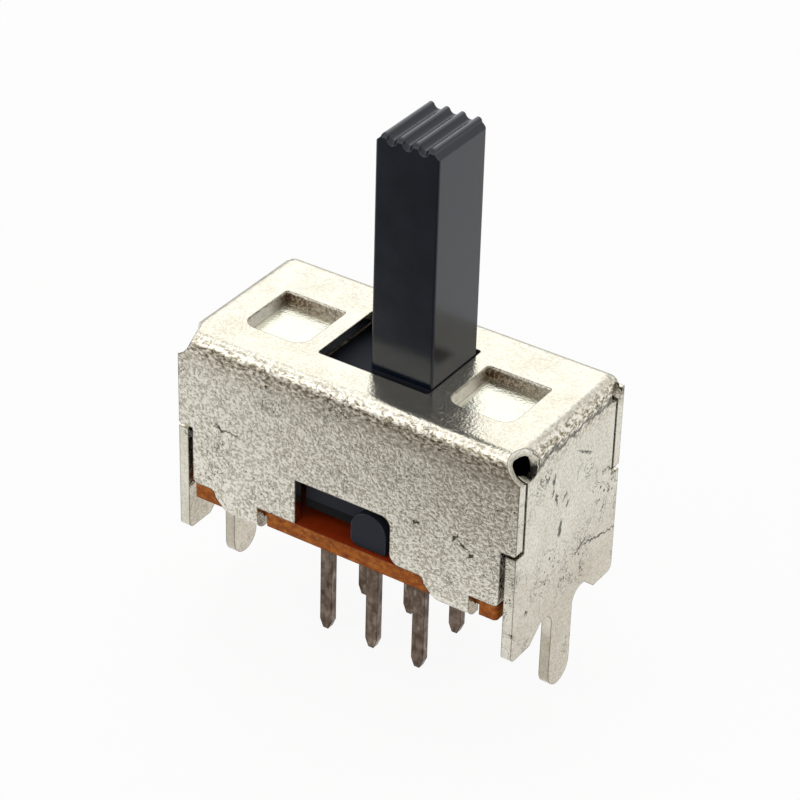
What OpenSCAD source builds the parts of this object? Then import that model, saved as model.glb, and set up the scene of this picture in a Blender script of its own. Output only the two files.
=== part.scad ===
// Slide switch, two poles and two positions, upright, with pins for a printed board.
// Units are millimetres. X runs along the travel, Z is up, and Z = 0 is at the
// tips of the terminals. The handle is drawn at the +X end of its travel.

/* [Frame] */
// Length over the end walls
frame_l = 14.1; // [13.7:0.1:18]
// Width over the long walls
frame_w = 6.8; // [6.6:0.1:8]
// Height from the feet to the top face
frame_h = 8.3; // [7.9:0.1:10]
// Thickness of the sheet
sheet_t = 0.4; // [0.3:0.05:0.45]
// Outer radius of the folds along the top edges
fold_r = 0.5; // [0.46:0.02:0.7]
// Gap between a long wall and an end wall where they meet
corner_gap = 0.12; // [0.05:0.01:0.2]
// Depth of the long walls below the top face
wall_depth = 6.15; // [6:0.05:6.6]
// Depth at which the long walls narrow and the end walls widen
ear_depth = 3.83; // [3:0.1:4.1]
// Radius of the corners where the long walls narrow
ear_r = 0.12; // [0.05:0.01:0.3]
// Gap beside the narrow part of a long wall
low_gap = 0.2; // [0.12:0.01:0.25]
// Radius of the lowest corners of the long walls
low_r = 0.2; // [0.1:0.05:0.35]
// Radius of the relief hole round each front corner of the top, at the outer face
relief_r = 0.61; // [0.5:0.01:0.65]
// Radius of the relief hole in the end wall at each back corner
relief_back_r = 0.35; // [0.25:0.01:0.45]
// Radius of the upper corners of the back wall
back_round = 0.65; // [0.5:0.05:0.8]
// How much the relief hole narrows for each millimetre inwards
relief_taper = 0.6; // [0.3:0.05:0.6]

/* [Frame: feet and legs] */
// Width of the leg in the middle of each end wall
leg_w = 1.38; // [1:0.02:1.6]
// How far a leg reaches below the feet
leg_drop = 2.95; // [1.5:0.05:3.5]
// Radius where a leg joins the end wall
leg_root_r = 0.55; // [0.2:0.05:0.6]
// Length of the flat under each foot
foot_flat = 1.25; // [0.6:0.05:1.6]
// Height of the notch between a foot and the leg
foot_notch = 0.6; // [0.3:0.05:0.8]
// Slant of the foot beside the notch
foot_slant = 0.7; // [0.3:0.05:0.8]
// Radius of the outer corner of each foot
foot_r = 0.25; // [0.1:0.05:0.4]

/* [Frame: openings and pressings] */
// Width of the slot for the handle
slot_w = 3.4; // [3.1:0.05:3.6]
// Radius of the slot's corners
slot_r = 0.12; // [0.05:0.01:0.2]
// Length of the window in each long wall
window_l = 4.0; // [3.8:0.1:4.6]
// Depth of the window's upper edge below the top face
window_depth = 4.3; // [4:0.05:4.5]
// Radius of the window's corners on the side of the handle
window_r = 0.4; // [0.1:0.05:0.6]
// Length of each pressed panel
panel_l = 2.6; // [2:0.1:2.8]
// Width of each pressed panel
panel_w = 2.75; // [2:0.05:3]
// Distance of a panel's middle from the middle of the frame
panel_x = 4.25; // [4.1:0.05:4.4]
// Shift of the panels towards the front
panel_shift = 0.3; // [0:0.05:0.3]
// Depth of the panels
panel_depth = 0.42; // [0.2:0.02:0.5]
// Slope of a panel's sides, over the whole depth
panel_slope = 0.16; // [0.05:0.01:0.2]
// Radius of a panel's front corners
panel_r = 0.55; // [0.2:0.05:0.7]
// Radius of a panel's back corners
panel_back_r = 0.15; // [0.1:0.05:0.5]

/* [Frame: clinched tabs] */
// Distance of a tab's middle from the middle of the frame
tab_x = 4.45; // [4.2:0.05:4.6]
// Shift of the tabs towards their slanted sides
tab_shift = 0.1; // [0:0.05:0.15]
// Width of a tab at its root
tab_root = 1.85; // [1.6:0.05:2.1]
// Width of a tab at its bent end
tab_end = 1.15; // [0.8:0.05:1.3]
// Radius of the curve into a tab's slanted side
tab_fillet = 0.28; // [0.1:0.02:0.3]
// How far a tab's slanted side has run in at its knee
tab_knee = 0.2; // [0.1:0.02:0.3]
// Outer radius of the bend at the end of a tab
clinch_r = 0.46; // [0.46:0.01:0.5]
// Length of the straight end under the board, beyond the bend
clinch_l = 0.2; // [0.1:0.05:0.4]

/* [Base board] */
// Thickness of the board
board_t = 0.6; // [0.55:0.05:0.9]
// Gap between the board and each end wall
board_gap = 0.25; // [0.1:0.05:0.35]
// Corner radius of the board
board_r = 0.15; // [0.05:0.05:0.4]
// Gap between a tab and its notch in the board
notch_gap = 0.03; // [0.02:0.01:0.1]
// Extra length of each notch beside the straight side of a tab
notch_extra = 0.4; // [0.1:0.05:0.45]

/* [Terminals] */
// Distance between neighbouring terminals of a row
pitch = 2.0; // [1.8:0.05:2.2]
// Distance between the two rows
row_pitch = 2.5; // [2.3:0.05:2.6]
// Width of a terminal's tail
tail_w = 0.5; // [0.4:0.02:0.6]
// Thickness of the terminals
tail_t = 0.3; // [0.2:0.02:0.34]
// How far the tails reach below the feet
tail_drop = 3.7; // [3.2:0.05:4.5]
// Length of the taper at a tail's tip
tip_l = 0.35; // [0.1:0.05:0.5]
// Width of the tip
tip_w = 0.22; // [0.15:0.01:0.3]
// Width of the contact blade above the board
blade_w = 1.2; // [1:0.05:1.3]
// Height of the contact blade above the board
blade_h = 2.25; // [2:0.05:2.4]
// Radius of the blade's upper corners
blade_r = 0.3; // [0.1:0.05:0.4]
// Play of a tail in its slot, each side
tail_play = 0.01; // [0:0.005:0.02]

/* [Slider] */
// Length of the handle along the travel
handle_l = 2.5; // [2.2:0.05:2.8]
// Width of the handle
handle_w = 2.85; // [2.4:0.05:2.9]
// Height of the handle above the frame
handle_h = 9.15; // [4:0.05:12]
// Radius of the handle's upright edges
handle_r = 0.08; // [0.03:0.01:0.15]
// Distance between the grip ridges on the handle's end
ridge_pitch = 0.62; // [0.55:0.01:0.64]
// Depth of the hollows between the ridges
ridge_depth = 0.2; // [0.1:0.01:0.25]
// Radius of the ridges
ridge_r = 0.13; // [0.06:0.01:0.15]
// Bevel at the front ends of the ridges
ridge_bevel = 0.15; // [0.05:0.01:0.2]
// Height of the slope outside the first and the last ridge
ridge_slope = 0.33; // [0.2:0.01:0.4]
// Length of the slider's body
body_l = 5.8; // [5.4:0.1:6.2]
// Length of the cover wing under the slot
wing_l = 7.2; // [6.8:0.1:7.6]
// Thickness of the cover wing
wing_t = 0.75; // [0.5:0.05:0.9]
// Gap between the slider's body and each long wall
side_gap = 0.15; // [0.08:0.01:0.2]
// Gap between the slider and the pressed panels above it
top_gap = 0.05; // [0.03:0.01:0.1]
// Height of the body's underside above the board
body_lift = 0.5; // [0.4:0.05:0.7]
// Width of the runner that shows in each window
runner_w = 1.45; // [1.2:0.05:1.6]
// Height of the runner
runner_h = 1.45; // [1.3:0.05:1.6]
// Depth of the runner into the body
runner_t = 0.8; // [0.6:0.05:1]
// Radius of the runner's lower edge on the open side
runner_r = 0.3; // [0.1:0.05:0.4]
// How far the runner stands inside the long wall's outer face
runner_inset = 0.15; // [0.1:0.05:0.35]
// Gap between the runner and the board
runner_gap = 0.05; // [0.03:0.01:0.1]
// Play of the handle at each end of the slot
stop_gap = 0.03; // [0:0.01:0.05]

/* [Contact clips] */
// Thickness of the clip's strip
clip_t = 0.15; // [0.1:0.01:0.18]
// Length of a clip over its arms
clip_l = 3.3; // [3.2:0.05:3.4]
// Length of the clip's middle, where it is gripped
clip_mid = 1.0; // [0.7:0.05:1.1]
// Inner width of the clip's middle
clip_gap = 1.0; // [0.9:0.02:1.06]
// Height of the contact arms
arm_h = 1.1; // [0.9:0.05:1.2]
// Inner width between the flared ends of the arms
flare = 0.8; // [0.6:0.05:0.9]
// Gap between a contact point and the blade
contact_gap = 0.02; // [0.01:0.01:0.04]
// Radius of the contact points
contact_r = 0.12; // [0.08:0.01:0.15]
// Free space around the arms in the pocket
arm_room = 0.2; // [0.15:0.01:0.25]
// Room between a blade and its groove
blade_room = 0.2; // [0.15:0.01:0.25]
// Height of a clip's lower edge above the body's underside
clip_lift = 0.35; // [0.3:0.05:0.4]
// Space between the blades and the closed side of a clip
clip_room = 0.7; // [0.6:0.05:0.8]
// Play at each end of the ribs that grip a clip
rib_gap = 0.1; // [0.05:0.05:0.15]

/* [Hidden] */
$fn = 48;
eps = 0.01;

// Levels, from the tips of the terminals
seat_z = tail_drop;
top_z = seat_z + frame_h;
board_top = top_z - wall_depth;
board_bottom = board_top - board_t;
panel_under = top_z - panel_depth - sheet_t;
slider_top = panel_under - top_gap;
body_bottom = board_top + body_lift;
handle_top = top_z + handle_h;
blade_top = board_top + blade_h;
clip_bottom = body_bottom + clip_lift;
clip_top = blade_top + clip_room;

// Sizes that follow
travel = pitch;
rest_x = travel / 2;
slot_l = handle_l + travel + 2 * stop_gap;
half_l = frame_l / 2;
half_w = frame_w / 2;
end_half = half_w - sheet_t - corner_gap;
low_half = half_l - sheet_t - low_gap;
board_l = frame_l - 2 * (sheet_t + board_gap);
tab_depth = wall_depth + board_t + sheet_t;
row_y = row_pitch / 2;
body_half = half_w - sheet_t - side_gap;
pocket_half = max(flare, clip_gap) / 2 + clip_t + arm_room;
far = 20;
relief_shift = [0.45, -0.2, -0.07];
relief_tilt = 52;
relief_turn = 50;
steel = [0.80, 0.78, 0.73];
bakelite = [0.60, 0.30, 0.12];
tinned = [0.55, 0.49, 0.43];
black = [0.10, 0.10, 0.11];
silvered = [0.82, 0.80, 0.76];

// ---- helpers -------------------------------------------------------------

// Carries a drawing in X and Z through the width of the switch.
module across(width) {
    rotate([90, 0, 0]) linear_extrude(width, center = true) children();
}

// Carries a drawing in Y and Z along the length of the switch.
module along(length) {
    rotate([90, 0, 90]) linear_extrude(length, center = true) children();
}

module both_sides() {
    for (s = [0, 1]) mirror([0, s, 0]) children();
}

module four_corners() {
    for (sx = [0, 1], sy = [0, 1]) mirror([sx, 0, 0]) mirror([0, sy, 0]) children();
}

module rounded_rect(l, w, r) {
    square([l - 2 * r, w], center = true);
    square([l, w - 2 * r], center = true);
    for (sx = [-1, 1], sy = [-1, 1])
        translate([sx * (l / 2 - r), sy * (w / 2 - r)]) circle(r);
}

// Upright strip from z0 to z1 whose lower corners are rounded.
module apron(half, z0, z1, r) {
    translate([-half, z0 + r]) square([2 * half, z1 - z0 - r]);
    translate([-half + r, z0]) square([2 * half - 2 * r, z1 - z0]);
    for (s = [-1, 1]) translate([s * (half - r), z0 + r]) circle(r);
}

// Fills the inner corner at the origin with a fillet, towards +X and +Y.
module fillet(r) {
    difference() {
        translate([-eps, -eps]) square(r + eps);
        translate([r, r]) circle(r);
    }
}

// ---- frame: one folded sheet ----------------------------------------------

// Section across a folded channel: a top with a wall down each side.
module channel(half, z0) {
    difference() {
        union() {
            translate([-half, z0]) square([2 * half, top_z - fold_r - z0]);
            translate([-half + fold_r, z0]) square([2 * (half - fold_r), top_z - z0]);
            for (s = [-1, 1]) translate([s * (half - fold_r), top_z - fold_r]) circle(fold_r);
        }
        inner_r = fold_r - sheet_t;
        translate([-half + sheet_t, z0 - 1])
            square([2 * (half - sheet_t), top_z - fold_r - z0 + 1]);
        translate([-half + fold_r, z0 - 1])
            square([2 * (half - fold_r), top_z - sheet_t - z0 + 1]);
        for (s = [-1, 1]) translate([s * (half - fold_r), top_z - fold_r]) circle(inner_r);
    }
}

// Section of the long walls, whose ends curl in under the board.
module long_section() {
    bend_z = top_z - tab_depth + clinch_r;
    channel(half_w, bend_z);
    for (s = [0, 1]) mirror([s, 0]) intersection() {
        translate([half_w - clinch_r, bend_z]) difference() {
            circle(clinch_r);
            circle(clinch_r - sheet_t);
        }
        translate([half_w - clinch_r, bend_z - clinch_r]) square(clinch_r);
    }
}

// One tab, drawn about its own middle: slanted on the left, straight on the right.
module tab_outline() {
    z1 = top_z - wall_depth + eps;
    z0 = top_z - tab_depth;
    knee_z = (z1 + z0) / 2;
    x1 = tab_root / 2;
    polygon([[-x1, z1], [-x1, z1 - tab_fillet], [-x1 + tab_knee, knee_z],
             [x1 - tab_end, z0], [x1, z0], [x1, z1]]);
    translate([-x1, z1]) rotate(180) fillet(tab_fillet);
}

// The window, square at the far end and rounded where the runner rests.
module window_outline() {
    z1 = top_z - window_depth;
    z0 = top_z - wall_depth;
    half = window_l / 2;
    difference() {
        translate([-half, z0 - 1]) square([window_l, z1 - z0 + 1]);
        translate([half, z1]) rotate(180) fillet(window_r);
    }
    translate([half, z0]) difference() {
        translate([-eps, -eps]) square([window_r + eps, window_r + eps]);
        translate([window_r, window_r]) circle(window_r);
    }
}

// Outline of a long wall seen from the front.
module long_outline() {
    translate([-half_l + fold_r, top_z - fold_r - eps])
        square([2 * (half_l - fold_r), fold_r + 1]);
    apron(half_l, top_z - ear_depth, top_z - fold_r, ear_r);
    difference() {
        union() {
            apron(low_half, top_z - wall_depth, top_z - ear_depth + ear_r, low_r);
            for (s = [-1, 1]) translate([s * tab_x - tab_shift, 0]) tab_outline();
        }
        window_outline();
    }
}

// Outline of an end wall seen from the side, with its two feet and its leg.
module end_outline() {
    shoulder = top_z - ear_depth - corner_gap;
    notch_z = seat_z + foot_notch;
    leg_half = leg_w / 2;
    foot_in = half_w - foot_flat;
    translate([-end_half, shoulder - eps]) square([2 * end_half, top_z - shoulder]);
    translate([-half_w + fold_r, top_z - fold_r])
        square([2 * (half_w - fold_r), 2 * fold_r]);
    difference() {
        apron(half_w, seat_z, shoulder, foot_r);
        for (s = [0, 1]) mirror([s, 0]) difference() {
            polygon([[0, seat_z - 1], [0, notch_z], [foot_in - foot_slant, notch_z],
                     [foot_in, seat_z], [foot_in, seat_z - 1]]);
            translate([leg_half, notch_z]) mirror([0, 1]) fillet(leg_root_r);
        }
    }
    translate([-leg_half, seat_z - leg_drop + leg_half])
        square([leg_w, leg_drop - leg_half + foot_notch + eps]);
    translate([0, seat_z - leg_drop + leg_half]) circle(leg_half);
}

// Plan of a pressed panel: sharper corners at the back than at the front.
module panel_plan(l, w, front_r, back_r) {
    translate([-l / 2 + front_r, -w / 2]) square([l - 2 * front_r, w / 2]);
    translate([-l / 2, -w / 2 + front_r]) square([l, w - front_r - back_r]);
    translate([-l / 2 + back_r, 0]) square([l - 2 * back_r, w / 2]);
    for (s = [-1, 1]) {
        translate([s * (l / 2 - front_r), -w / 2 + front_r]) circle(front_r);
        translate([s * (l / 2 - back_r), w / 2 - back_r]) circle(back_r);
    }
}

// A shallow pan with sloping sides, open at the top face. Grown makes the outside
// of the same pressing.
module pan(depth, grown) {
    l = panel_l + grown;
    w = panel_w + grown;
    intersection() {
        across(w + 1) polygon([[-l / 2, 1], [-l / 2, 0], [-l / 2 + panel_slope, -depth],
                               [l / 2 - panel_slope, -depth], [l / 2, 0], [l / 2, 1]]);
        along(l + 1) polygon([[-w / 2, 1], [-w / 2, 0], [-w / 2 + panel_slope, -depth],
                              [w / 2 - panel_slope, -depth], [w / 2, 0], [w / 2, 1]]);
        translate([0, 0, -depth]) linear_extrude(depth + 1)
            panel_plan(l, w, panel_r + grown / 2, panel_back_r + grown / 2);
    }
}

module at_panels() {
    for (s = [-1, 1]) translate([s * panel_x, -panel_shift, top_z]) children();
}

// The top is drawn round each corner, so that the folds run into each other: in a ball
// at the front, and more widely at the back, where the back wall's corner is cut off.
module corner_caps() {
    inner_r = fold_r - sheet_t;
    for (s = [0, 1]) mirror([s, 0, 0]) {
        for (t = [0, 1]) mirror([0, t, 0])
            translate([half_l - fold_r, half_w - fold_r, top_z - fold_r])
                difference() {
                    intersection() {
                        sphere(fold_r);
                        translate([-eps, -eps, -eps]) cube(fold_r + 1);
                    }
                    sphere(inner_r);
                }
    }
}

// The blank has a round hole at each corner. At the front, folding wraps it over the
// top and the two walls, and its cut edge narrows towards the inside. At the back, a
// smaller hole ends the seam between the walls.
module relief_holes() {
    reach = 0.9 * relief_r / relief_taper;
    for (s = [0, 1]) mirror([s, 0, 0]) {
        mirror([0, 1, 0])
            translate([half_l - fold_r, half_w - fold_r, top_z - fold_r] + relief_shift)
                rotate([0, relief_tilt, relief_turn]) translate([0, 0, -reach])
                    cylinder(r1 = relief_r - relief_taper * reach,
                             r2 = relief_r + relief_taper * reach, h = 2 * reach);
        translate([half_l - 2 * sheet_t, end_half, top_z - 1.5 * relief_back_r])
            rotate([0, 90, 0])
                cylinder(r1 = relief_back_r / 2, r2 = relief_back_r, h = 2 * sheet_t + eps);
        translate([half_l + eps, half_w, top_z + eps])
            across(2 * (half_w - end_half)) rotate(180) fillet(back_round);
    }
}

module long_sheet() {
    intersection() {
        along(frame_l) long_section();
        across(frame_w + 1) long_outline();
    }
}

module end_sheet() {
    intersection() {
        across(frame_w) channel(half_l, seat_z - leg_drop);
        along(frame_l + 1) end_outline();
    }
}

// The straight end of each clinched tab, lying under the board.
module clinched_ends() {
    x1 = tab_root / 2;
    for (s = [-1, 1]) both_sides()
        translate([s * tab_x - tab_shift + x1 - tab_end, -half_w + clinch_r - eps,
                   top_z - tab_depth])
            cube([tab_end, clinch_l + eps, sheet_t]);
}

module frame() {
    color(steel) difference() {
        union() {
            long_sheet();
            end_sheet();
            corner_caps();
            clinched_ends();
            at_panels() intersection() {
                pan(panel_depth + sheet_t, sheet_t);
                translate([-far / 2, -far / 2, -far]) cube(far);
            }
        }
        relief_holes();
        at_panels() pan(panel_depth, 0);
        translate([0, 0, top_z - 2 * sheet_t]) linear_extrude(3 * sheet_t)
            rounded_rect(slot_l, slot_w, slot_r);
    }
}

// ---- base board -----------------------------------------------------------

// Each notch follows the slanted side of its tab and is wider on the other side.
module tab_notches() {
    x1 = tab_root / 2;
    for (s = [-1, 1]) both_sides()
        translate([s * tab_x - tab_shift, -half_w, 0]) across(2 * (clinch_r + notch_gap)) {
            translate([-notch_gap, 0]) tab_outline();
            translate([x1 - tab_end, board_bottom - 1])
                square([tab_end + notch_gap + notch_extra, board_t + 2]);
        }
}

module base_board() {
    color(bakelite) difference() {
        translate([0, 0, board_bottom]) linear_extrude(board_t)
            rounded_rect(board_l, frame_w, board_r);
        tab_notches();
        for (i = [-1 : 1], s = [-1, 1])
            translate([i * pitch, s * row_y, board_bottom + board_t / 2])
                cube([tail_w + 2 * tail_play, tail_t + 2 * tail_play, board_t + 1],
                     center = true);
    }
}

// ---- terminals ------------------------------------------------------------

// One flat stamping: contact blade, shoulders on the board, tail and tip.
module terminal(column, row) {
    translate([column * pitch, row * row_y, 0]) color(tinned) across(tail_t) {
        translate([-blade_w / 2, board_top]) square([blade_w, blade_h - blade_r]);
        translate([-blade_w / 2 + blade_r, board_top])
            square([blade_w - 2 * blade_r, blade_h]);
        for (s = [-1, 1])
            translate([s * (blade_w / 2 - blade_r), blade_top - blade_r]) circle(blade_r);
        polygon([[-tail_w / 2, board_top + eps], [-tail_w / 2, tip_l], [-tip_w / 2, 0],
                 [tip_w / 2, 0], [tail_w / 2, tip_l], [tail_w / 2, board_top + eps]]);
    }
}

module terminal_a1() { terminal(-1, -1); }
module terminal_a2() { terminal(0, -1); }
module terminal_a3() { terminal(1, -1); }
module terminal_b1() { terminal(-1, 1); }
module terminal_b2() { terminal(0, 1); }
module terminal_b3() { terminal(1, 1); }

// ---- slider: one moulding -------------------------------------------------

// Side view of the handle, whose end carries four rounded ridges.
module handle_outline() {
    reach = (ridge_pitch * ridge_pitch / 4 + ridge_depth * ridge_depth) / (2 * ridge_depth);
    hollow_r = reach - ridge_r;
    ridge_z = handle_top - ridge_r;
    join_z = ridge_z + ridge_r * (reach - ridge_depth) / reach;
    last = 1.5 * ridge_pitch;
    edge = last + ridge_r / 2;
    half = handle_l / 2;
    slope_z = handle_top - ridge_slope;
    difference() {
        union() {
            polygon([[-half, slider_top - eps], [-half, slope_z], [-edge, join_z],
                     [edge, join_z], [half, slope_z], [half, slider_top - eps]]);
            for (i = [-1.5 : 1 : 1.5]) translate([i * ridge_pitch, ridge_z]) circle(ridge_r);
        }
        for (i = [-1 : 1]) translate([i * ridge_pitch, handle_top - ridge_depth + hollow_r])
            circle(hollow_r);
    }
}

// Where a hollow reaches the front of the handle, it turns down over the bevel.
module hollow_ends() {
    reach = (ridge_pitch * ridge_pitch / 4 + ridge_depth * ridge_depth) / (2 * ridge_depth);
    r = reach - ridge_r;
    for (i = [-1 : 1])
        translate([i * ridge_pitch, (ridge_bevel - handle_w) / 2, handle_top - ridge_depth + r])
            rotate([135, 0, 0]) cylinder(r = r, h = 3 * ridge_bevel);
}

module handle() {
    half = handle_w / 2;
    difference() {
        intersection() {
            across(handle_w) handle_outline();
            along(handle_l + 1) polygon([
                [-half, slider_top - eps], [-half, handle_top - ridge_bevel],
                [-half + ridge_bevel, handle_top], [half, handle_top], [half, slider_top - eps]]);
            translate([0, 0, slider_top - eps]) linear_extrude(handle_top)
                rounded_rect(handle_l, handle_w, handle_r);
        }
        hollow_ends();
    }
}

// The foot that slides on the board and shows in the window, round at the top.
module runner() {
    r = runner_w / 2;
    z0 = board_top + runner_gap;
    y0 = -half_w + runner_inset;
    translate([0, y0 + runner_t / 2, 0]) across(runner_t) {
        translate([-r, z0 + runner_r]) square([runner_w, runner_h - r - runner_r]);
        translate([-r + runner_r, z0]) square([runner_w - runner_r, runner_h - r]);
        translate([-r + runner_r, z0 + runner_r]) circle(runner_r);
        translate([0, z0 + runner_h - r]) circle(r);
    }
}

// Room for one clip: ribs grip its middle, its arms are free, and the
// terminals' blades pass through a groove along the whole body.
module clip_pocket() {
    l = clip_l + 2 * arm_room;
    rib = pocket_half - clip_gap / 2 - clip_t;
    translate([0, 0, body_bottom - 1]) difference() {
        translate([-l / 2, -pocket_half, 0]) cube([l, 2 * pocket_half, clip_top - body_bottom + 1]);
        both_sides() translate([-clip_mid / 2 + rib_gap, clip_gap / 2 + clip_t, -1])
            cube([clip_mid - 2 * rib_gap, rib + 1, far]);
    }
    groove = tail_t / 2 + blade_room;
    translate([-wing_l, -groove, body_bottom - 1])
        cube([2 * wing_l, 2 * groove, blade_top + blade_room - body_bottom + 1]);
}

module slider() {
    color(black) translate([rest_x, 0, 0]) {
        handle();
        difference() {
            union() {
                translate([-body_l / 2, -body_half, body_bottom])
                    cube([body_l, 2 * body_half, slider_top - body_bottom]);
                translate([-wing_l / 2, -body_half, slider_top - wing_t])
                    cube([wing_l, 2 * body_half, wing_t]);
                both_sides() runner();
            }
            for (s = [-1, 1]) translate([0, s * row_y, 0]) clip_pocket();
        }
    }
}

// ---- contact clips --------------------------------------------------------

// One side of a clip seen from above: the arms bow in to touch two blades.
module arm_plan() {
    touch = tail_t / 2 + contact_gap;
    bow = touch + contact_r / 4;
    y0 = clip_gap / 2;
    k = 1.2 * clip_t;
    for (s = [0, 1]) mirror([s, 0]) {
        polygon([[clip_mid / 2 - eps, y0], [pitch / 2, bow], [clip_l / 2, flare / 2],
                 [clip_l / 2, flare / 2 + k], [pitch / 2, bow + k],
                 [clip_mid / 2 - eps, y0 + clip_t]]);
        translate([pitch / 2, touch + contact_r]) circle(contact_r);
    }
}

module contact_clip(row) {
    half = clip_gap / 2 + clip_t;
    r = 2 * clip_t;
    translate([rest_x, row * row_y, 0]) color(silvered) {
        along(clip_mid) difference() {
            union() {
                translate([-half, clip_bottom]) square([2 * half, clip_top - r - clip_bottom]);
                translate([-half + r, clip_bottom]) square([2 * (half - r), clip_top - clip_bottom]);
                for (s = [-1, 1]) translate([s * (half - r), clip_top - r]) circle(r);
            }
            translate([-clip_gap / 2, clip_bottom - 1])
                square([clip_gap, clip_top - r - clip_bottom + 1]);
            translate([-half + r, clip_bottom - 1])
                square([2 * (half - r), clip_top - clip_t - clip_bottom + 1]);
            for (s = [-1, 1]) translate([s * (half - r), clip_top - r]) circle(r - clip_t);
        }
        translate([0, 0, clip_bottom]) linear_extrude(arm_h) both_arms();
    }
}

module both_arms() {
    for (s = [0, 1]) mirror([0, s]) arm_plan();
}

module contact_clip_a() { contact_clip(-1); }
module contact_clip_b() { contact_clip(1); }

frame();
base_board();
terminal_a1();
terminal_a2();
terminal_a3();
terminal_b1();
terminal_b2();
terminal_b3();
slider();
contact_clip_a();
contact_clip_b();
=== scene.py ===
"""Finishes, lights and camera for a small two-position slide switch in a folded sheet-steel frame."""

import math

import bpy
from mathutils import Matrix, Vector


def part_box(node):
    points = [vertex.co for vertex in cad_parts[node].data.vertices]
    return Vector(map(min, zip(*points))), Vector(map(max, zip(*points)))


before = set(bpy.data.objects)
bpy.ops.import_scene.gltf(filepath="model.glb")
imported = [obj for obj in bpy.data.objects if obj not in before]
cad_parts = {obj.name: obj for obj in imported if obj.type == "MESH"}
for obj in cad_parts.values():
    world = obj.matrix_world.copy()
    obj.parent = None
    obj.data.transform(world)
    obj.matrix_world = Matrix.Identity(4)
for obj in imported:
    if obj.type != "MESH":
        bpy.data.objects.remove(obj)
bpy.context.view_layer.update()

MM = 0.001


# ---------------------------------------------------------------- small helpers

# Sockets that share their name with others on a node go by number. Math and Vector Math take 0, 1 and 2.
START, END, LEAST, MOST = 1, 2, 3, 4  # Map Range: START gives LEAST, else 0, and END gives MOST, else 1
SHARE, ONE, OTHER = 0, 2, 3  # Mix, of two numbers
UNDER, OVER = 6, 7  # Mix, of two colours


def linear(colour):
    """An sRGB hex colour as the linear RGBA that Blender's sockets take."""
    parts = [int(colour[i : i + 2], 16) / 255 for i in (1, 3, 5)]
    return (*[c / 12.92 if c <= 0.04045 else ((c + 0.055) / 1.055) ** 2.4 for c in parts], 1.0)


def add(tree, kind, inputs=None, **settings):
    """A new node. Settings are its own properties. Inputs give each socket a value, the socket that feeds it,
    or the node whose first output does."""
    node = tree.nodes.new(kind)
    for name, value in settings.items():
        setattr(node, name, value)
    for name, value in (inputs or {}).items():
        if isinstance(value, bpy.types.Node):
            value = value.outputs[0]
        if isinstance(value, bpy.types.NodeSocket):
            tree.links.new(value, node.inputs[name])
        else:
            node.inputs[name].default_value = value
    return node


def start_finish(name):
    """A material with nothing in it yet, and its node tree."""
    finish = bpy.data.materials.new(name)
    finish.use_nodes = True
    finish.node_tree.nodes.clear()
    return finish, finish.node_tree


def lay_on(tree, base, coats):
    """A base colour with coats laid on it in turn. A coat is the mask that it lies by and its colour, and
    after them how it mixes with what is under it, where it doesn't simply cover."""
    shade = linear(base)
    for mask, colour, *how in coats:
        inputs = {SHARE: mask, UNDER: shade, OVER: linear(colour) if isinstance(colour, str) else colour}
        coat = add(tree, "ShaderNodeMix", inputs, data_type="RGBA", blend_type=how[0] if how else "MIX")
        shade = coat.outputs[2]
    return shade


def soften_edges(tree, radius, start, end, most=1.0):
    """Edges rounded for the light alone: the rounded normal, and a mask of the band where it leaves the flat
    one. Their dot product has fallen to start where the band begins, and to end where the mask is at most."""
    rounded = add(tree, "ShaderNodeBevel", {"Radius": radius}, samples=6)
    flat = add(tree, "ShaderNodeNewGeometry").outputs["Normal"]
    same = add(tree, "ShaderNodeVectorMath", {0: rounded, 1: flat}, operation="DOT_PRODUCT").outputs["Value"]
    band = add(tree, "ShaderNodeMapRange", {"Value": same, START: start, END: end, MOST: most})
    return rounded, band


# ---------------------------------------------------------------- where things are on the switch

FRAME_LOW, FRAME_HIGH = (Vector(corner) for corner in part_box("frame"))
BOARD_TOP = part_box("base_board")[1][2]
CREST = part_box("slider")[1][2]  # top of the finger grip's ridges
SHEET = 0.4 * MM  # thickness of the frame's steel
SHOULDER = FRAME_HIGH.z - 3.9 * MM  # under this the end walls are as wide as the frame and show cut faces
FEET = FRAME_HIGH.z - 8.3 * MM  # the end walls' feet stop here, and their legs go on
FOLD_BAND = 0.95 * MM  # about how far under the top the streaks over a fold reach
FOLD_LEAN = 1.7  # they reach this many times less far in over the top

# The pressed panel at the right. The left one mirrors its place in X.
PANEL_AT = Vector((4.25, -0.30, 0)) * MM
PANEL_HALF = Vector((1.36, 1.44, 0)) * MM

# The relief hole at the right front corner, a cone that opens outwards. The left one mirrors it.
RELIEF_AT = Vector((FRAME_HIGH.x - 0.05 * MM, FRAME_LOW.y + 0.7 * MM, FRAME_HIGH.z - 0.57 * MM))
RELIEF_ALONG = Vector((0.506, -0.604, 0.616))
RELIEF_RADIUS = 0.61 * MM  # at RELIEF_AT
RELIEF_TAPER = 0.6  # radius gained for each length outwards

# The slider gets a painted shade, nearly black, where it is under the one and behind the other.
LOW_RIM = BOARD_TOP + 0.86 * MM
RIM_FACE = FRAME_LOW.y + 0.32 * MM

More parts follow.
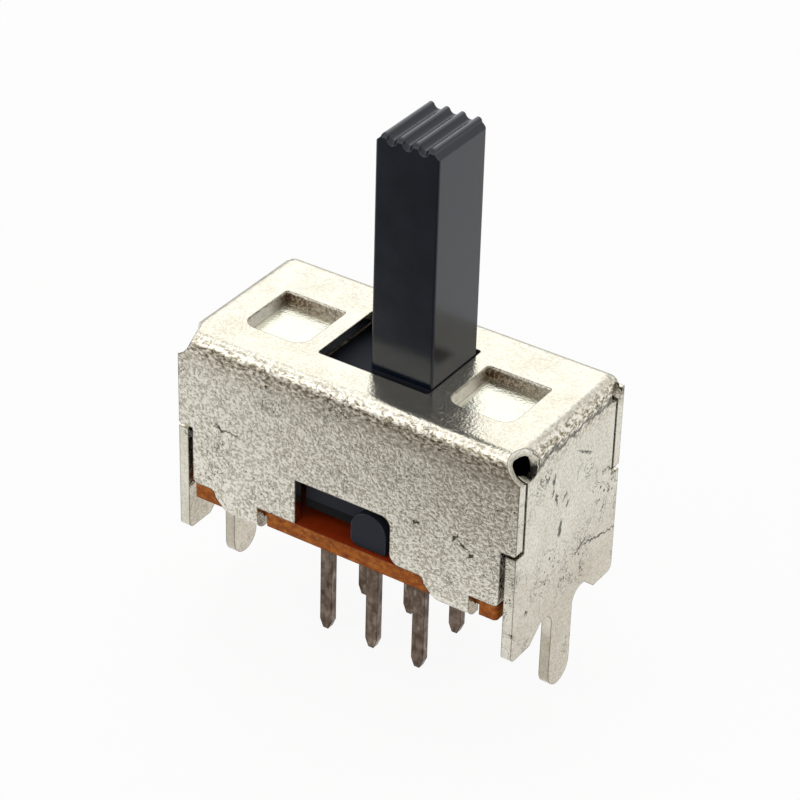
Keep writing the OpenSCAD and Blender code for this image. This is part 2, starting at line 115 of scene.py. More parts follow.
# Larger marks on the walls: middle (x, y, z), half length and half width in mm, and the slope of the length
# in degrees, seen from outside.
FRONT, RIGHT = FRAME_LOW.y / MM, FRAME_HIGH.x / MM
MARKS = [
    ((-4.86, FRONT, 8.55), 0.48, 0.035, -4),
    ((-5.25, FRONT, 8.60), 0.16, 0.05, -35),
    ((3.08, FRONT, 8.04), 0.13, 0.07, 15),
    ((4.66, FRONT, 8.02), 0.16, 0.05, 60),
    ((4.95, FRONT, 7.80), 0.20, 0.04, -20),
    ((5.30, FRONT, 7.52), 0.14, 0.06, 35),
    ((RIGHT, -1.10, 10.05), 0.20, 0.05, 80),
    ((RIGHT, -1.13, 9.56), 0.15, 0.05, 70),
    ((RIGHT, -0.87, 9.15), 0.18, 0.06, 95),
    ((RIGHT, -0.12, 8.56), 0.14, 0.06, 60),
    ((RIGHT, -1.53, 10.30), 0.10, 0.06, 40),
    ((RIGHT, -0.52, 7.76), 0.26, 0.075, 88),
    ((RIGHT, -0.30, 8.95), 0.12, 0.05, 30),
    ((RIGHT, 2.35, 5.80), 1.20, 0.035, -12),
    ((RIGHT, 1.05, 6.12), 0.30, 0.05, 25),
    ((RIGHT, 0.90, 10.12), 0.50, 0.03, -32),
    ((RIGHT, 2.90, 8.33), 0.52, 0.03, -28),
    ((RIGHT, -2.52, 5.37), 0.075, 0.075, 0),
    ((RIGHT, -3.40, 4.89), 0.06, 0.06, 0),
]


# How coarse the patterns are: about the distance from one patch, streak or speck to the next.
GRAIN = 0.105 * MM
CLOUDS = 1.3 * MM
FOLD_STREAKS = 0.11 * MM
PIT_PATCHES = 1.9 * MM
PITS = 0.36 * MM
CRACKS = 0.8 * MM
TORN_OUTLINES = 0.16 * MM
PAPER_FIBRES = 0.22 * MM
PAPER_FLECKS = 0.16 * MM
RESIN_MOTTLE = 0.5 * MM
TIN_BLOTCHES = 0.45 * MM
TIN_RUNS = 0.2 * MM
NYLON_CLOUDS = 1.1 * MM
NYLON_SKIN = 0.3 * MM
SILVER_BLOTCHES = 0.6 * MM


# ---------------------------------------------------------------- the frame's finish


def where_on_frame(tree):
    """Where a place on the frame is and which way the sheet faces there. level is 1 on the top, end_wall and
    long_wall are 1 on those walls, and hand is 1 on the right half and -1 on the left."""
    layout = add(tree, "ShaderNodeTexCoord").outputs
    at = add(tree, "ShaderNodeSeparateXYZ", {0: layout["Object"]}).outputs
    facing = add(tree, "ShaderNodeSeparateXYZ", {0: layout["Normal"]}).outputs
    here = {"place": layout["Object"], "x": at["X"], "y": at["Y"], "z": at["Z"], "facing": facing}
    for name, socket in (
        ("from_middle_x", at["X"]), ("from_middle_y", at["Y"]),
        ("end_wall", facing["X"]), ("long_wall", facing["Y"]), ("level", facing["Z"]),
    ):
        here[name] = add(tree, "ShaderNodeMath", {0: socket}, operation="ABSOLUTE")
    here["below_top"] = add(tree, "ShaderNodeMath", {0: FRAME_HIGH.z, 1: at["Z"]}, operation="SUBTRACT")
    here["hand"] = add(tree, "ShaderNodeMath", {0: at["X"]}, operation="SIGN")
    return here


def barrel_grain(tree, here):
    """Pale dimples inside dark crinkles, with a few darker dots. The grain is strongest on the long walls,
    weaker on the end walls, and faintest on the top and on the end walls' cut faces."""
    noise = add(tree, "ShaderNodeTexNoise", {
        "Vector": here["place"], "Scale": 1 / GRAIN, "Detail": 2.0, "Roughness": 0.55,
    })
    inner_face = FRAME_HIGH.x - SHEET - 0.02 * MM
    past_wall = add(tree, "ShaderNodeMath", {
        0: here["from_middle_x"], 1: inner_face,
    }, operation="GREATER_THAN")
    under_shoulder = add(tree, "ShaderNodeMath", {0: here["z"], 1: SHOULDER}, operation="LESS_THAN")
    cut_face = add(tree, "ShaderNodeMath", {0: past_wall, 1: under_shoulder}, operation="MULTIPLY")
    long_wall = add(tree, "ShaderNodeMath", {0: here["long_wall"], 1: cut_face}, operation="SUBTRACT")
    amount = add(tree, "ShaderNodeMapRange", {
        "Value": long_wall, START: 0.2, END: 0.8, LEAST: 0.22, MOST: 0.9,
    })
    amount = add(tree, "ShaderNodeMath", {0: here["end_wall"], 1: 0.16, 2: amount}, operation="MULTIPLY_ADD")

    rim = 0.42
    off_rim = add(tree, "ShaderNodeMath", {0: noise, 1: rim}, operation="SUBTRACT")
    off_rim = add(tree, "ShaderNodeMath", {0: off_rim}, operation="ABSOLUTE")
    dimples = add(tree, "ShaderNodeMapRange", {"Value": noise, START: rim, END: 0.62})
    crinkles = add(tree, "ShaderNodeMapRange", {"Value": off_rim, START: 0.032, END: 0.006})
    dots = add(tree, "ShaderNodeMapRange", {"Value": noise, START: 0.33, END: 0.27})
    coats = []
    for mask, colour in ((dimples, "#F6F2E7"), (crinkles, "#837A69"), (dots, "#4A4235")):
        coats.append((add(tree, "ShaderNodeMath", {0: mask, 1: amount}, operation="MULTIPLY"), colour))
    return {
        "noise": noise, "long_wall": long_wall, "amount": amount,
        "dimples": dimples, "crinkles": crinkles, "coats": coats,
    }


def darken_feet(tree, here):
    """Coats that darken the end walls towards their feet, and a painted shade on the narrow sides of their
    legs.
    """
    low = add(tree, "ShaderNodeMapRange", {
        "Value": here["z"], START: BOARD_TOP + 2.0 * MM, END: BOARD_TOP - 1.0 * MM,
    })
    low = add(tree, "ShaderNodeMath", {0: low, 1: here["end_wall"]}, operation="MULTIPLY")
    # Painted shade on the narrow sides of the legs.
    leg_side_shade = add(tree, "ShaderNodeMapRange", {"Value": here["z"], START: FEET, END: FEET - 0.8 * MM})
    leg_side_shade = add(tree, "ShaderNodeMath", {0: leg_side_shade, 1: here["long_wall"]}, operation="MULTIPLY")
    return [(low, "#EDE9E5", "MULTIPLY"), (leg_side_shade, "#DDDAD6", "MULTIPLY")]


def fold_skin(tree, here):
    """The skin over the folds: short streaks, with a painted shade that darkens them towards the walls and
    darkens the back and left folds where they turn down. A fold is told by how far a place lies in from the
    side plus how far under the top."""
    beside = {}
    streaks = {}
    reach = {}
    for axis, half_size, stretch in (
        ("y", FRAME_HIGH.y, (0.6, 1.0, 1.0)), ("x", FRAME_HIGH.x, (1.0, 0.6, 1.0)),
    ):
        inset = add(tree, "ShaderNodeMath", {
            0: half_size, 1: here[f"from_middle_{axis}"],
        }, operation="SUBTRACT")
        reach[axis] = add(tree, "ShaderNodeMath", {
            0: inset, 1: FOLD_LEAN, 2: here["below_top"],
        }, operation="MULTIPLY_ADD")
        beside[axis] = add(tree, "ShaderNodeMapRange", {
            "Value": reach[axis], START: 1.5 * FOLD_BAND, END: 0.6 * FOLD_BAND,
        })
        drawn = add(tree, "ShaderNodeMapping", {"Vector": here["place"], "Scale": stretch})
        streaks[axis] = add(tree, "ShaderNodeTexNoise", {
            "Vector": drawn, "Scale": 1 / FOLD_STREAKS, "Detail": 3.0, "Roughness": 0.6, "Distortion": 0.5,
        })
    on_fold = add(tree, "ShaderNodeMath", {0: beside["x"], 1: beside["y"]}, operation="MAXIMUM")
    streak = add(tree, "ShaderNodeMix", {SHARE: beside["x"], ONE: streaks["y"], OTHER: streaks["x"]})

    # Painted shade: the streaks darken where the fold turns towards the walls.
    wall_shade = add(tree, "ShaderNodeMapRange", {
        "Value": here["level"], START: 0.2, END: 0.8, LEAST: 0.05, MOST: 0.0,
    })
    darker = add(tree, "ShaderNodeMath", {0: streak, 1: wall_shade}, operation="SUBTRACT")
    bright = add(tree, "ShaderNodeMapRange", {"Value": darker, START: 0.42, END: 0.54})
    deep = add(tree, "ShaderNodeMapRange", {"Value": darker, START: 0.41, END: 0.33})
    streaked = lay_on(tree, "#A2977F", [(bright, "#F4F0E4"), (deep, "#4C4434")])
    on_top = add(tree, "ShaderNodeMapRange", {
        "Value": here["level"], START: 0.55, END: 0.95, LEAST: 0.9, MOST: 0.25,
    })
    over = add(tree, "ShaderNodeMath", {0: on_fold, 1: on_top}, operation="MULTIPLY")

    # Painted shade on the back and left folds, where they turn down.
    leftwards = add(tree, "ShaderNodeMath", {0: here["facing"]["X"], 1: -1.0}, operation="MULTIPLY")
    to_back, to_left = (
        add(tree, "ShaderNodeMapRange", {"Value": way, START: 0.04, END: 0.45, MOST: 0.85})
        for way in (here["facing"]["Y"], leftwards)
    )
    turned_down_shade = add(tree, "ShaderNodeMath", {0: to_back, 1: to_left}, operation="MAXIMUM")
    turning = add(tree, "ShaderNodeMapRange", {"Value": here["level"], START: 0.3, END: 0.7})
    turned_down_shade = add(tree, "ShaderNodeMath", {0: turned_down_shade, 1: turning}, operation="MULTIPLY")
    return {
        "over": over, "streak": streak, "from_end": reach["x"],
        "coats": [(over, streaked), (turned_down_shade, "#A3A090", "MULTIPLY")],
    }


def pits_and_cracks(tree, here, from_end_fold):
    """Pits and short cracks in patches, a ragged crack where the fold at an end wall starts, and the larger
    marks. They show strongly on the walls and faintly on the top."""
    patch = add(tree, "ShaderNodeTexNoise", {
        "Vector": here["place"], "Scale": 1 / PIT_PATCHES, "Detail": 2.0,
    })
    pit_size = add(tree, "ShaderNodeMapRange", {"Value": patch, START: 0.52, END: 0.74, MOST: 0.22})
    pit_spread = add(tree, "ShaderNodeTexVoronoi", {
        "Vector": here["place"], "Scale": 1 / PITS, "Randomness": 1.0,
    })
    marks = add(tree, "ShaderNodeMath", {0: pit_spread, 1: pit_size}, operation="LESS_THAN")

    vein = add(tree, "ShaderNodeTexNoise", {
        "Vector": here["place"], "Scale": 1 / CRACKS, "Detail": 5.0, "Roughness": 0.6, "Distortion": 0.8,
    })
    off_vein = add(tree, "ShaderNodeMath", {0: vein, 1: 0.5}, operation="SUBTRACT")
    off_vein = add(tree, "ShaderNodeMath", {0: off_vein}, operation="ABSOLUTE")
    cracks = add(tree, "ShaderNodeMapRange", {"Value": off_vein, START: 0.012, END: 0.003})
    cracked = add(tree, "ShaderNodeMapRange", {"Value": patch, START: 0.54, END: 0.60, MOST: 0.8})
    cracks = add(tree, "ShaderNodeMath", {0: cracks, 1: cracked}, operation="MULTIPLY")
    marks = add(tree, "ShaderNodeMath", {0: marks, 1: cracks}, operation="MAXIMUM")

    wander = 1.2 * MM
    ragged = add(tree, "ShaderNodeMath", {0: vein, 1: wander, 2: from_end_fold}, operation="MULTIPLY_ADD")
    ragged = add(tree, "ShaderNodeMath", {0: ragged, 1: wander}, operation="SUBTRACT")
    ragged = add(tree, "ShaderNodeMath", {0: ragged}, operation="ABSOLUTE")
    seam = add(tree, "ShaderNodeMapRange", {"Value": ragged, START: 0.14 * MM, END: 0.03 * MM, MOST: 0.9})
    marks = add(tree, "ShaderNodeMath", {0: marks, 1: seam}, operation="MAXIMUM")

    # The larger marks' outlines are shifted by up to about 0.1 mm here and there, which leaves them torn.
    torn = add(tree, "ShaderNodeTexNoise", {
        "Vector": here["place"], "Scale": 1 / TORN_OUTLINES, "Detail": 2.0,
    })
    torn = add(tree, "ShaderNodeVectorMath", {0: torn.outputs["Color"], 1: (0.5,) * 3}, operation="SUBTRACT")
    torn = add(tree, "ShaderNodeVectorMath", {
        0: torn, 1: (0.32 * MM,) * 3, 2: here["place"],
    }, operation="MULTIPLY_ADD")
    for middle, half_length, half_width, slope in MARKS:
        if middle[0] == RIGHT:
            turn = (math.radians(slope), 0, 0)
            size = (2 * half_width, half_length, half_width)
        else:
            turn = (0, -math.radians(slope), 0)
            size = (half_length, 2 * half_width, half_width)
        near = add(tree, "ShaderNodeMapping", {
            "Vector": torn, "Location": Vector(middle) * MM, "Rotation": turn, "Scale": Vector(size) * MM,
        }, vector_type="TEXTURE")
        far = add(tree, "ShaderNodeVectorMath", {0: near}, operation="LENGTH").outputs["Value"]
        mark = add(tree, "ShaderNodeMapRange", {"Value": far, START: 1.6, END: 0.85})
        marks = add(tree, "ShaderNodeMath", {0: marks, 1: mark}, operation="MAXIMUM")
    on_wall = add(tree, "ShaderNodeMapRange", {
        "Value": here["level"], START: 0.6, END: 0.95, LEAST: 0.92, MOST: 0.1,
    })
    return add(tree, "ShaderNodeMath", {0: marks, 1: on_wall}, operation="MULTIPLY")


def pressed_panels(tree, here, grain):
    """The pressed panels: floors paler and less grained than the sheet round them, and sides painted pale as
    if lit, with brown over them, most at the back and a little more towards the left."""
    inside = add(tree, "ShaderNodeMapRange", {"Value": here["below_top"], START: 0.03 * MM, END: 0.10 * MM})
    for place_on, middle, half_size in (
        (here["from_middle_x"], PANEL_AT.x, PANEL_HALF.x), (here["y"], PANEL_AT.y, PANEL_HALF.y),
    ):
        off = add(tree, "ShaderNodeMath", {0: place_on, 1: middle}, operation="SUBTRACT")
        off = add(tree, "ShaderNodeMath", {0: off}, operation="ABSOLUTE")
        within = add(tree, "ShaderNodeMapRange", {"Value": off, START: half_size + 0.04 * MM, END: half_size})
        inside = add(tree, "ShaderNodeMath", {0: inside, 1: within}, operation="MULTIPLY")
    floor = add(tree, "ShaderNodeMapRange", {"Value": here["level"], START: 0.9, END: 0.97, MOST: 0.7})
    floor = add(tree, "ShaderNodeMath", {0: inside, 1: floor}, operation="MULTIPLY")
    steep = add(tree, "ShaderNodeMapRange", {"Value": here["level"], START: 0.9, END: 0.6})
    sides = add(tree, "ShaderNodeMath", {0: inside, 1: steep}, operation="MULTIPLY")
    # Painted light: the panels' sides are painted pale.
    painted_light_sides = add(tree, "ShaderNodeMath", {0: sides, 1: 0.7}, operation="MULTIPLY")

    at_back = add(tree, "ShaderNodeMapRange", {
        "Value": here["y"], LEAST: 0.05, MOST: 1.0,
        START: PANEL_AT.y + 0.1 * PANEL_HALF.y, END: PANEL_AT.y + 0.8 * PANEL_HALF.y,
    })
    browned_sides = add(tree, "ShaderNodeMath", {0: sides, 1: at_back}, operation="MULTIPLY")
    rightwards = add(tree, "ShaderNodeMath", {0: here["from_middle_x"], 1: PANEL_AT.x}, operation="SUBTRACT")
    rightwards = add(tree, "ShaderNodeMath", {0: rightwards, 1: here["hand"]}, operation="MULTIPLY")
    to_left = add(tree, "ShaderNodeMapRange", {
        "Value": rightwards, START: 0.7 * PANEL_HALF.x, END: -0.9 * PANEL_HALF.x, LEAST: 0.75, MOST: 1.0,
    })
    browned_sides = add(tree, "ShaderNodeMath", {0: browned_sides, 1: to_left}, operation="MULTIPLY")
    brown_grain = lay_on(tree, "#5C432B", [(grain["dimples"], "#958870"), (grain["crinkles"], "#2E2214")])
    return {"sides": sides, "coats": [(floor, "#E1E2D3"), (painted_light_sides, "#F6F3E8"), (browned_sides, brown_grain)]}


def relief_hole_walls(tree, here):
    """The walls of the relief holes at the front corners: where the sheet lies on the hole's cone and faces
    its axis."""
    corner = add(tree, "ShaderNodeCombineXYZ", {0: here["from_middle_x"], 1: here["y"], 2: here["z"]})
    corner = add(tree, "ShaderNodeVectorMath", {0: corner, 1: RELIEF_AT}, operation="SUBTRACT")
    aside = add(tree, "ShaderNodeVectorMath", {0: corner, 1: RELIEF_ALONG}, operation="CROSS_PRODUCT")
    aside = add(tree, "ShaderNodeVectorMath", {0: aside}, operation="LENGTH").outputs["Value"]
    along = add(tree, "ShaderNodeVectorMath", {0: corner, 1: RELIEF_ALONG}, operation="DOT_PRODUCT")
    radius = add(tree, "ShaderNodeMath", {
        0: along.outputs["Value"], 1: RELIEF_TAPER, 2: RELIEF_RADIUS,
    }, operation="MULTIPLY_ADD")
    on_cone = add(tree, "ShaderNodeMath", {0: aside, 1: radius, 2: 0.02 * MM}, operation="COMPARE")
    facing = here["facing"]
    turned = add(tree, "ShaderNodeMath", {0: facing["X"], 1: here["hand"]}, operation="MULTIPLY")
    turned = add(tree, "ShaderNodeCombineXYZ", {0: turned, 1: facing["Y"], 2: facing["Z"]})
    inwards = add(tree, "ShaderNodeVectorMath", {0: turned, 1: corner}, operation="DOT_PRODUCT")
    inwards = add(tree, "ShaderNodeMath", {0: inwards.outputs["Value"], 1: 0.0}, operation="LESS_THAN")
    return add(tree, "ShaderNodeMath", {0: on_cone, 1: inwards}, operation="MULTIPLY")


def nickel_plated_steel():
    """Steel strip, stamped, folded and plated with nickel: a warm grey metal in a cloudy tone, with a fine
    grain of light and dark specks, streaks and cracks over the folds, and a painted shade along the sharp
    edges."""
    finish, tree = start_finish("nickel_plated_steel")
    here = where_on_frame(tree)
    grain = barrel_grain(tree, here)
    folds = fold_skin(tree, here)
    marks = pits_and_cracks(tree, here, folds["from_end"])
    panels = pressed_panels(tree, here, grain)
    in_hole = relief_hole_walls(tree, here)
    cloud = add(tree, "ShaderNodeTexNoise", {
        "Vector": here["place"], "Scale": 1 / CLOUDS, "Detail": 5.0, "Roughness": 0.7,
    })
    tone = add(tree, "ShaderNodeMapRange", {"Value": cloud, START: 0.36, END: 0.64})
    # Painted shade: a dark line along each sharp edge, standing in for the dark that the rounded edge would
    # mirror. It is thinner on the relief holes' walls.
    _, edge_shade = soften_edges(tree, radius=0.075 * MM, start=0.985, end=0.90, most=0.85)
    narrower = add(tree, "ShaderNodeMapRange", {"Value": in_hole, LEAST: 1.0, MOST: 2.5})
    edge_shade = add(tree, "ShaderNodeMath", {0: edge_shade, 1: narrower}, operation="POWER")
    shade = lay_on(tree, "#CAC5B4", [
        (tone, "#DAD6C8"),
        *grain["coats"],
        *darken_feet(tree, here),
        *folds["coats"],
        (marks, "#2C261C"),
        *panels["coats"],
        # Painted highlight: the relief holes' walls are painted pale, as if they mirrored the lit room.
        (in_hole, "#F6F3E9"),
        (edge_shade, "#5C5446"),
    ])

    depth = add(tree, "ShaderNodeMath", {0: grain["amount"], 1: 0.35}, operation="ADD")
    fine = add(tree, "ShaderNodeMath", {0: grain["noise"], 1: depth}, operation="MULTIPLY")
    relief = add(tree, "ShaderNodeMix", {SHARE: folds["over"], ONE: fine, OTHER: folds["streak"]})
    height = add(tree, "ShaderNodeMath", {0: relief, 1: marks}, operation="SUBTRACT")
    rounded = add(tree, "ShaderNodeBevel", {"Radius": 0.055 * MM}, samples=6)
    bump = add(tree, "ShaderNodeBump", {
        "Height": height, "Distance": 0.025 * MM, "Strength": 0.9, "Normal": rounded,
    })
    polish = add(tree, "ShaderNodeMapRange", {
        "Value": grain["long_wall"], START: 0.2, END: 0.8, LEAST: 0.20, MOST: 0.32,
    })
    polish = add(tree, "ShaderNodeMix", {SHARE: panels["sides"], ONE: polish, OTHER: 0.5})
    shader = add(tree, "ShaderNodeBsdfPrincipled", {
        "Base Color": shade, "Metallic": 1.0, "Roughness": polish, "Normal": bump,
    })
    add(tree, "ShaderNodeOutputMaterial", {"Surface": shader})
    return finish


# ---------------------------------------------------------------- the other pieces' finishes


def paper_phenolic():
    """Paper soaked in phenolic resin, pressed into sheet and punched.
    The pressed faces are a glossy dark red-brown. The punched edge shows the layers of paper: orange-brown
    and dull, with pale specks where fibres are torn out."""
    finish, tree = start_finish("paper_phenolic")
    layout = add(tree, "ShaderNodeTexCoord").outputs
    place = layout["Object"]
    facing = add(tree, "ShaderNodeSeparateXYZ", {0: layout["Normal"]}).outputs
    flat = add(tree, "ShaderNodeMath", {0: facing["Z"]}, operation="ABSOLUTE")
    on_face = add(tree, "ShaderNodeMapRange", {"Value": flat, START: 0.6, END: 0.9})

    # Paper layers of about 0.1 mm, drawn nearly twice as thick so that they show.
    stretched = add(tree, "ShaderNodeMapping", {"Vector": place, "Scale": (0.7, 0.7, 1.2)})
    fibres = add(tree, "ShaderNodeTexNoise", {
        "Vector": stretched, "Scale": 1 / PAPER_FIBRES, "Detail": 4.0, "Roughness": 0.6,
    })
    layers = add(tree, "ShaderNodeMapRange", {"Value": fibres, START: 0.30, END: 0.68})
    fleck = add(tree, "ShaderNodeTexNoise", {"Vector": place, "Scale": 1 / PAPER_FLECKS, "Detail": 2.0})
    torn = add(tree, "ShaderNodeMapRange", {"Value": fleck, START: 0.62, END: 0.74, MOST: 0.6})
    mottle = add(tree, "ShaderNodeTexNoise", {"Vector": place, "Scale": 1 / RESIN_MOTTLE, "Detail": 3.0})
    face = lay_on(tree, "#86270A", [(mottle, "#AE3F12")])
    # Painted shade: a dark line along each edge of the board, standing in for the dark that its rounded edge
    # would mirror.
    rounded, arris_shade = soften_edges(tree, radius=0.06 * MM, start=0.985, end=0.88, most=0.6)
    shade = lay_on(tree, "#7C380A", [
        (layers, "#BC6C22"), (torn, "#D08F52"), (on_face, face), (arris_shade, "#4F2A0C"),
    ])

    bump = add(tree, "ShaderNodeBump", {
        "Height": fibres, "Distance": 0.03 * MM, "Strength": 0.7, "Normal": rounded,
    })
    gloss = add(tree, "ShaderNodeMapRange", {"Value": on_face, LEAST: 0.75, MOST: 0.35})
    shader = add(tree, "ShaderNodeBsdfPrincipled", {
        "Base Color": shade, "Specular IOR Level": 0.3, "Roughness": gloss, "Normal": bump,
    })
    add(tree, "ShaderNodeOutputMaterial", {"Surface": shader})
    return finish


def tinned_brass():
    """Brass strip, stamped and tinned. The tin is dull: a brownish grey in blotches, with darker streaks and
    paler gleams drawn out down the tails, and a painted shade along the edges."""
    finish, tree = start_finish("tinned_brass")
    place = add(tree, "ShaderNodeTexCoord").outputs["Object"]
    blotch = add(tree, "ShaderNodeTexNoise", {
        "Vector": place, "Scale": 1 / TIN_BLOTCHES, "Detail": 4.0, "Roughness": 0.6,
    })
    spread = add(tree, "ShaderNodeMapRange", {"Value": blotch, START: 0.35, END: 0.65})
    drawn = add(tree, "ShaderNodeMapping", {"Vector": place, "Scale": (1.0, 1.0, 0.4)})
    runs = add(tree, "ShaderNodeTexNoise", {"Vector": drawn, "Scale": 1 / TIN_RUNS, "Detail": 3.0})
    streak = add(tree, "ShaderNodeMapRange", {"Value": runs, START: 0.50, END: 0.34, MOST: 0.6})
    gleam = add(tree, "ShaderNodeMapRange", {"Value": runs, START: 0.60, END: 0.72, MOST: 0.45})
    # Painted shade: a dark line along each edge, standing in for the dark that the rounded edge would mirror.
    rounded, edge_shade = soften_edges(tree, radius=0.08 * MM, start=0.985, end=0.86, most=0.7)
    shade = lay_on(tree, "#544438", [
        (spread, "#817266"), (streak, "#3B2F26"), (gleam, "#BFB5A8"), (edge_shade, "#3A2E25"),
    ])

    bump = add(tree, "ShaderNodeBump", {
        "Height": runs, "Distance": 0.03 * MM, "Strength": 0.7, "Normal": rounded,
    })
    gloss = add(tree, "ShaderNodeMapRange", {"Value": spread, LEAST: 0.45, MOST: 0.3})
    shader = add(tree, "ShaderNodeBsdfPrincipled", {
        "Base Color": shade, "Metallic": 1.0, "Roughness": gloss, "Normal": bump,
    })
    add(tree, "ShaderNodeOutputMaterial", {"Surface": shader})
    return finish


def black_nylon():
    """Nylon, moulded in one with its colour. It is smooth on the handle, with a soft shine and a faintly
    uneven skin, and duller inside the frame. Corners are paler, partly rubbed and partly a painted highlight,
    and the crests of the finger grip carry a pale painted highlight."""
    finish, tree = start_finish("black_nylon")
    place = add(tree, "ShaderNodeTexCoord").outputs["Object"]
    at = add(tree, "ShaderNodeSeparateXYZ", {0: place}).outputs
    cloud = add(tree, "ShaderNodeTexNoise", {"Vector": place, "Scale": 1 / NYLON_CLOUDS, "Detail": 2.0})
    skin = add(tree, "ShaderNodeTexNoise", {"Vector": place, "Scale": 1 / NYLON_SKIN, "Detail": 3.0})

    rounded, corner = soften_edges(tree, radius=0.06 * MM, start=0.99, end=0.88)
    rub = add(tree, "ShaderNodeMapRange", {"Value": skin, START: 0.40, END: 0.60, LEAST: 0.15, MOST: 0.6})
    rubbed_and_highlit = add(tree, "ShaderNodeMath", {0: corner, 1: rub}, operation="MULTIPLY")
    # Painted highlight: a pale band along the crests of the finger grip, laid with the rubbed corners.
    crest_highlight = add(tree, "ShaderNodeMapRange", {
        "Value": at["Z"], START: CREST - 0.05 * MM, END: CREST - 0.01 * MM, MOST: 0.5,
    })
    rubbed_and_highlit = add(tree, "ShaderNodeMath", {0: rubbed_and_highlit, 1: crest_highlight}, operation="MAXIMUM")

    # Painted shade: the lowest part is nearly black and without shine, apart from the front runner's face.
    low_shade = add(tree, "ShaderNodeMapRange", {
        "Value": at["Z"], START: LOW_RIM + 0.02 * MM, END: LOW_RIM - 0.02 * MM,
    })
    set_back = add(tree, "ShaderNodeMapRange", {
        "Value": at["Y"], START: RIM_FACE - 0.02 * MM, END: RIM_FACE + 0.02 * MM,
    })
    low_shade = add(tree, "ShaderNodeMath", {0: low_shade, 1: set_back}, operation="MULTIPLY")
    shade = lay_on(tree, "#090F1B", [(cloud, "#111A29"), (rubbed_and_highlit, "#6B6D72"), (low_shade, "#030304")])

    bump = add(tree, "ShaderNodeBump", {
        "Height": skin, "Distance": 0.006 * MM, "Strength": 0.5, "Normal": rounded,
    })
    outside = add(tree, "ShaderNodeMapRange", {
        "Value": at["Z"], START: FRAME_HIGH.z - 0.02 * MM, END: FRAME_HIGH.z,
    })
    shine = add(tree, "ShaderNodeMapRange", {"Value": cloud, LEAST: 0.16, MOST: 0.28})
    gloss = add(tree, "ShaderNodeMix", {SHARE: outside, ONE: 0.75, OTHER: shine})
    gloss = add(tree, "ShaderNodeMix", {SHARE: low_shade, ONE: gloss, OTHER: 1.0})
    shader = add(tree, "ShaderNodeBsdfPrincipled", {
        "Base Color": shade, "IOR": 1.48, "Roughness": gloss, "Normal": bump,
    })
    add(tree, "ShaderNodeOutputMaterial", {"Surface": shader})
    return finish


def silvered_bronze():
    """Phosphor bronze spring strip with a thin coat of silver: bright, warm and slightly blotched."""
    finish, tree = start_finish("silvered_bronze")
    place = add(tree, "ShaderNodeTexCoord").outputs["Object"]
    blotch = add(tree, "ShaderNodeTexNoise", {"Vector": place, "Scale": 1 / SILVER_BLOTCHES, "Detail": 3.0})
    shade = lay_on(tree, "#B9A88C", [(blotch, "#DDD6C6")])
    gloss = add(tree, "ShaderNodeMapRange", {"Value": blotch, LEAST: 0.22, MOST: 0.34})
    shader = add(tree, "ShaderNodeBsdfPrincipled", {"Base Color": shade, "Metallic": 1.0, "Roughness": gloss})
    add(tree, "ShaderNodeOutputMaterial", {"Surface": shader})
    return finish


finishes = {
    "frame": nickel_plated_steel(),
    "base_board": paper_phenolic(),
    "slider": black_nylon(),
    "terminal": tinned_brass(),
    "contact_clip": silvered_bronze(),
}
for name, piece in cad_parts.items():
    finish = next(made for kind, made in finishes.items() if name.startswith(kind))
    for held in piece.material_slots:
        held.material = finish


# ---------------------------------------------------------------- floor, card and room


def looked_at(tree):
    """1 for rays from the camera, off gloss and through glass, and 0 for rays that only carry light."""
    ray = add(tree, "ShaderNodeLightPath").outputs
    seen = add(tree, "ShaderNodeMath", {
        0: ray["Is Camera Ray"], 1: ray["Is Glossy Ray"],
    }, operation="MAXIMUM")
    return add(tree, "ShaderNodeMath", {0: seen, 1: ray["Is Transmission Ray"]}, operation="MAXIMUM")


def white_paper():
    """The sheet the switch stands on. It shows as white and still takes the switch's shadow."""
    paper, tree = start_finish("white_paper")
    lit = add(tree, "ShaderNodeBsdfDiffuse", {"Color": linear("#F4F4F2")})
    glow = add(tree, "ShaderNodeEmission", {"Color": linear("#FFFFFF"), "Strength": 1.0})
    mostly = add(tree, "ShaderNodeMixShader", {0: 0.92, 1: lit, 2: glow})
    shown = add(tree, "ShaderNodeMixShader", {0: looked_at(tree), 1: lit, 2: mostly})
    add(tree, "ShaderNodeOutputMaterial", {"Surface": shown})
    return paper


def grey_paint():
    """Flat grey on the card. It glows by itself, so that it mirrors as one even tone."""
    paint, tree = start_finish("grey_paint")
    glow = add(tree, "ShaderNodeEmission", {"Color": linear("#7D766C"), "Strength": 1.0})
    add(tree, "ShaderNodeOutputMaterial", {"Surface": glow})
    return paint


def lay_sheet(name, outline, height, finish):
    """A flat sheet, with its outline and height in millimetres."""
    mesh = bpy.data.meshes.new(name)
    mesh.from_pydata([(x * MM, y * MM, height * MM) for x, y in outline], [], [tuple(range(len(outline)))])
    mesh.materials.append(finish)
    sheet = bpy.data.objects.new(name, mesh)
    bpy.context.scene.collection.objects.link(sheet)
    return sheet


FLOOR_HALF = 600
FLOOR_PLAN = [(x * FLOOR_HALF, y * FLOOR_HALF) for x, y in ((-1, -1), (1, -1), (1, 1), (-1, 1))]
floor = lay_sheet("floor", FLOOR_PLAN, 0, white_paper())

# A grey card in front of the switch, out of the camera's sight. The front wall's upper part and the handle
# mirror it, which gives them depth against the white room.
CARD_PLAN = [
    (26, -13.2), (-2, -13.2), (-8, -15), (-12, -18.5), (-22, -27),
    (-50, -60), (-50, -80), (60, -80), (60, -20),
]
CARD_HEIGHT = 0.3
card = lay_sheet("grey_card", CARD_PLAN, CARD_HEIGHT, grey_paint())
card.visible_camera = False
card.visible_diffuse = False
card.visible_shadow = False

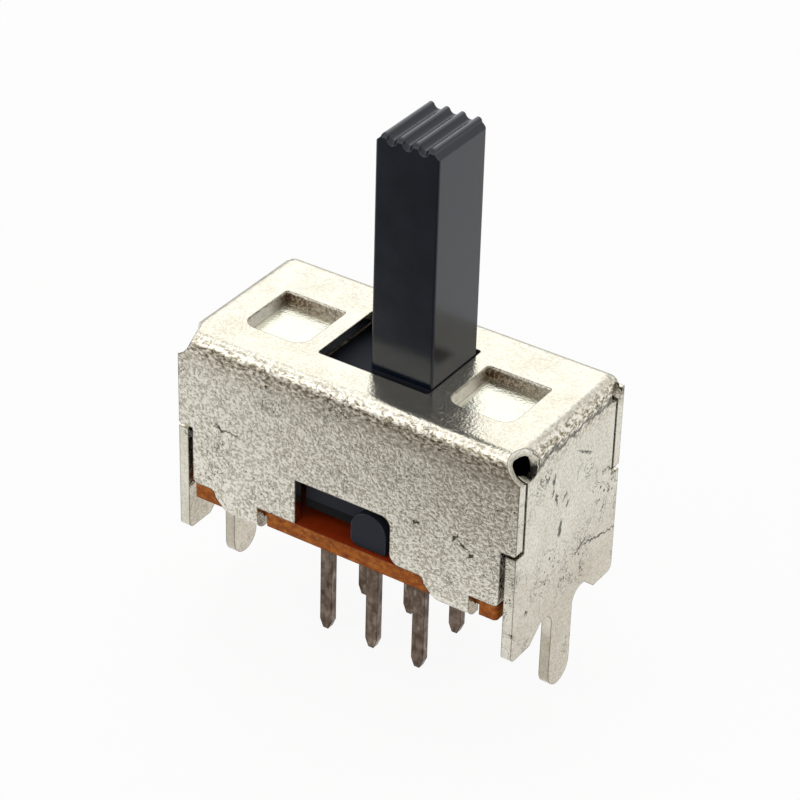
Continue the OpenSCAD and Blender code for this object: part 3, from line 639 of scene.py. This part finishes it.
# The room is white to look at, and lights the switch less than it shows.
world = bpy.data.worlds.new("white_room")
bpy.context.scene.world = world
world.use_nodes = True
room = world.node_tree
room.nodes.clear()
brightness = add(room, "ShaderNodeMapRange", {"Value": looked_at(room), LEAST: 0.6, MOST: 1.0})
walls = add(room, "ShaderNodeBackground", {"Color": linear("#FFFFFF"), "Strength": brightness})
add(room, "ShaderNodeOutputWorld", {"Surface": walls})


# ---------------------------------------------------------------- lamps and camera


def soft_box(name, at, aim, side, power):
    """A square soft box of that side, aimed at a point. Lengths in millimetres, power in watts."""
    lamp = bpy.data.lights.new(name, "AREA")
    lamp.shape = "SQUARE"
    lamp.size = side * MM
    lamp.energy = power
    box = bpy.data.objects.new(name, lamp)
    box.location = Vector(at) * MM
    box.rotation_euler = (Vector(aim) - Vector(at)).to_track_quat("-Z", "Y").to_euler()
    bpy.context.scene.collection.objects.link(box)


soft_box("top_light", (-40, 20, 190), (0, 0, 8), 130, 0.05)
soft_box("back_light", (-78, 118, 92), (0, 0, 12), 110, 0.023)
soft_box("front_light", (-90, -120, 110), (0, 0, 8), 100, 0.03)

# The camera looks down on the frame's right front corner. Angles are in degrees, and the lens in mm.
CAMERA_AIM = Vector((-1.540, 2.487, 8.099)) * MM
CAMERA_AZIMUTH = 32.855
CAMERA_ELEVATION = 33.139
CAMERA_ROLL = 1.613
CAMERA_AWAY = 109 * MM
CAMERA_LENS = 135.955

azimuth, elevation = math.radians(CAMERA_AZIMUTH), math.radians(CAMERA_ELEVATION)
back = Vector((
    math.sin(azimuth) * math.cos(elevation), -math.cos(azimuth) * math.cos(elevation), math.sin(elevation),
))
turn = (-back).to_track_quat("-Z", "Y").to_matrix() @ Matrix.Rotation(math.radians(CAMERA_ROLL), 3, "Z")
camera = bpy.data.objects.new("camera", bpy.data.cameras.new("camera"))
camera.data.sensor_width = 36
camera.data.lens = CAMERA_LENS
camera.data.clip_start = 5 * MM
camera.data.clip_end = 5000 * MM
camera.matrix_world = Matrix.Translation(CAMERA_AIM + back * CAMERA_AWAY) @ turn.to_4x4()
bpy.context.scene.collection.objects.link(camera)
bpy.context.scene.camera = camera
bpy.context.scene.view_settings.view_transform = "Standard"
